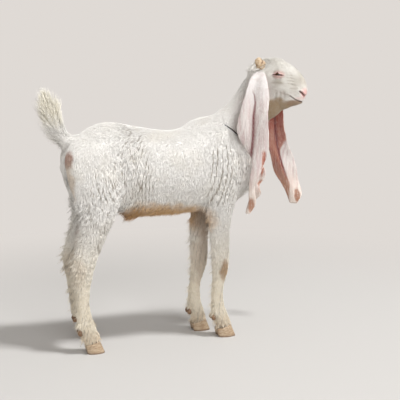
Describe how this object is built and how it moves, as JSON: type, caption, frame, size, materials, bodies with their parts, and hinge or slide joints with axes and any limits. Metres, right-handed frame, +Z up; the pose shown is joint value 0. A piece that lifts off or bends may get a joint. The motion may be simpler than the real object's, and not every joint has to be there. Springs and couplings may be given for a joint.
{
  "type": "goat",
  "caption": "Life-size standing young white goat with a Roman nose, very long folded ears, a raised tail and a thin black neck cord.",
  "frame": {"origin": "middle of the bounding box's underside, on the ground under the goat", "axes": "+X towards the front of the goat, +Y to its left, +Z up; the soles are in the plane Z = 0"},
  "size_m": [0.7322, 0.228, 0.7491],
  "materials": {
    "white_coat": "short white hair, wavy on the flank and thigh, cream on the legs",
    "ear_skin": "thin white hair over pink skin",
    "bare_skin": "thinly haired pink-brown skin",
    "hoof_horn": "tan horn, darker and dusty at the ground",
    "dewclaw_horn": "brown horn",
    "horn_bud": "yellow-brown ridged horn",
    "eye": "wet, dark, with a level slit pupil",
    "neck_cord": "twisted black cord"
  },
  "bodies": {
    "root": {"collar": "neck_cord", "dewclaw_fore_left_inner": "dewclaw_horn", "dewclaw_fore_left_outer": "dewclaw_horn", "dewclaw_fore_right_inner": "dewclaw_horn", "dewclaw_fore_right_outer": "dewclaw_horn", "dewclaw_hind_left_inner": "dewclaw_horn", "dewclaw_hind_left_outer": "dewclaw_horn", "dewclaw_hind_right_inner": "dewclaw_horn", "dewclaw_hind_right_outer": "dewclaw_horn", "ear_left": "ear_skin", "ear_right": "ear_skin", "eye_left": "eye", "eye_right": "eye", "foreleg_left_cannon": "white_coat", "foreleg_left_pastern": "white_coat", "foreleg_left_upper": "white_coat", "foreleg_right_cannon": "white_coat", "foreleg_right_pastern": "white_coat", "foreleg_right_upper": "white_coat", "head": "white_coat", "hindleg_left_cannon": "white_coat", "hindleg_left_gaskin": "white_coat", "hindleg_left_pastern": "white_coat", "hindleg_left_thigh": "white_coat", "hindleg_right_cannon": "white_coat", "hindleg_right_gaskin": "white_coat", "hindleg_right_pastern": "white_coat", "hindleg_right_thigh": "white_coat", "hoof_fore_left_inner": "hoof_horn", "hoof_fore_left_outer": "hoof_horn", "hoof_fore_right_inner": "hoof_horn", "hoof_fore_right_outer": "hoof_horn", "hoof_hind_left_inner": "hoof_horn", "hoof_hind_left_outer": "hoof_horn", "hoof_hind_right_inner": "hoof_horn", "hoof_hind_right_outer": "hoof_horn", "horn_bud_left": "horn_bud", "horn_bud_right": "horn_bud", "neck": "white_coat", "scrotum": "bare_skin", "tail": "white_coat", "trunk": "white_coat"}
  },
  "joints": []
}
